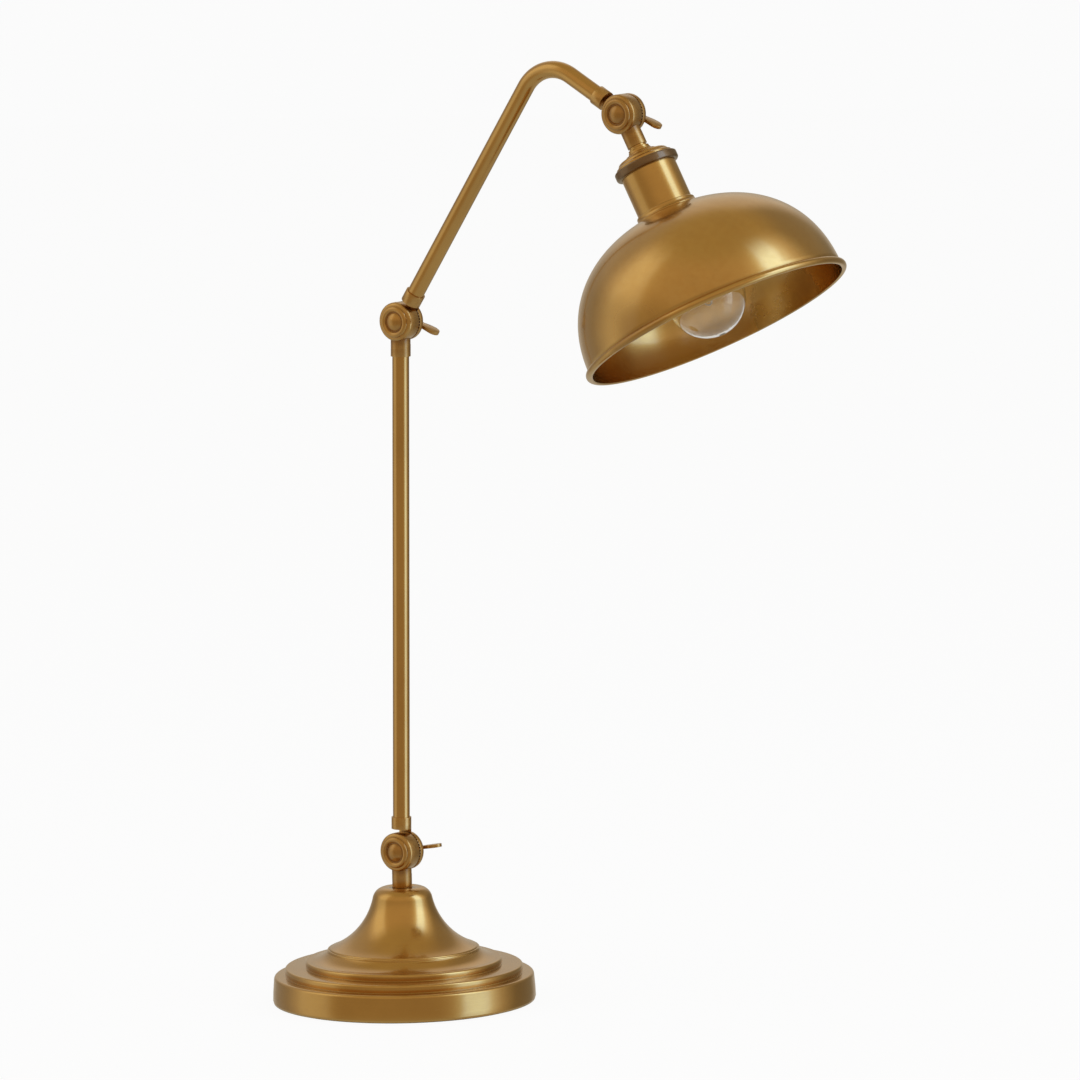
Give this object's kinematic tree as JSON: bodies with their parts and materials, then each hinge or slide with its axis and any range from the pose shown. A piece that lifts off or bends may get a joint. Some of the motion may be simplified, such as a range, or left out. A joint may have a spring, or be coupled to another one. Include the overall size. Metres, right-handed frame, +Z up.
{
  "type": "desk lamp",
  "caption": "Adjustable desk lamp with a dome shade on a bent arm, a straight post, toothed swivel knuckles with wing nuts, and a stepped round base.",
  "frame": {"origin": "centre of the resting face, on the underside of the felt pad", "axes": "+Z up; the arm and the shade reach towards +X; every hinge axis lies along Y, with the domed end caps on the -Y side and the wing nuts on the +Y side"},
  "size_m": [0.488, 0.2074, 0.7157],
  "materials": {
    "antique_brass": "antique brushed, lacquered",
    "cast_brass": "antique cast, satin",
    "dark_bronze": "dark oxidised",
    "plain_brass": "plain satin",
    "steel": "zinc plated",
    "iron": "rough cast",
    "felt": "felt",
    "rubber": "matt",
    "phenolic": "moulded",
    "solder": "dull",
    "clear_glass": "clear",
    "wire": "drawn"
  },
  "bodies": {
    "base": {"base_shell": "antique_brass", "base_weight": "iron", "felt_pad": "felt", "stem_nipple": "steel", "stem_washer": "steel", "stem_nut": "steel", "cord_grommet": "rubber", "lower_knuckle_front": "cast_brass", "lower_bolt": "steel", "lower_cap": "cast_brass"},
    "post": {"lower_knuckle_rear": "cast_brass", "lower_washer": "cast_brass", "post_tube": "antique_brass", "mid_knuckle_front": "cast_brass", "mid_bolt": "steel", "mid_cap": "cast_brass"},
    "arm": {"mid_knuckle_rear": "cast_brass", "mid_washer": "cast_brass", "arm_tube": "antique_brass", "upper_knuckle_rear": "cast_brass", "upper_washer": "cast_brass"},
    "head": {"upper_knuckle_front": "cast_brass", "upper_bolt": "steel", "upper_cap": "cast_brass", "head_nipple": "steel", "head_coupling": "antique_brass", "socket_cap": "antique_brass", "socket_ring": "dark_bronze", "socket_cup": "antique_brass", "shade_collar": "antique_brass", "shade": "antique_brass", "shade_ring_nut": "plain_brass", "lampholder_body": "phenolic", "lampholder_shell": "plain_brass", "lampholder_contact": "plain_brass", "bulb_screw_cap": "plain_brass", "bulb_insulator": "phenolic", "bulb_contact": "solder", "bulb_glass": "clear_glass", "bulb_stem": "clear_glass", "bulb_lead_wires": "wire", "bulb_filament": "wire"},
    "lower_nut": {"lower_wing_nut": "cast_brass"},
    "mid_nut": {"mid_wing_nut": "cast_brass"},
    "upper_nut": {"upper_wing_nut": "cast_brass"}
  },
  "joints": [
    {"name": "lower_tilt", "type": "hinge", "parent": "base", "child": "post", "pos_m": [0, 0, 0.11425], "axis": [0, 1, 0], "range_deg": [-45, 45]},
    {"name": "mid_tilt", "type": "hinge", "parent": "post", "child": "arm", "pos_m": [0.00984, 0, 0.51693], "axis": [0, 1, 0], "range_deg": [-60, 60]},
    {"name": "head_tilt", "type": "hinge", "parent": "arm", "child": "head", "pos_m": [0.21609, 0, 0.67854], "axis": [0, 1, 0], "range_deg": [-90, 40]},
    {"name": "lower_wing_turn", "type": "hinge", "parent": "base", "child": "lower_nut", "pos_m": [0, 0, 0.11425], "axis": [0, 1, 0], "range_deg": [0, 180]},
    {"name": "mid_wing_turn", "type": "hinge", "parent": "post", "child": "mid_nut", "pos_m": [0.00984, 0, 0.51693], "axis": [0, 1, 0], "range_deg": [0, 180]},
    {"name": "upper_wing_turn", "type": "hinge", "parent": "head", "child": "upper_nut", "pos_m": [0.21609, 0, 0.67854], "axis": [0, 1, 0], "range_deg": [0, 180]}
  ]
}
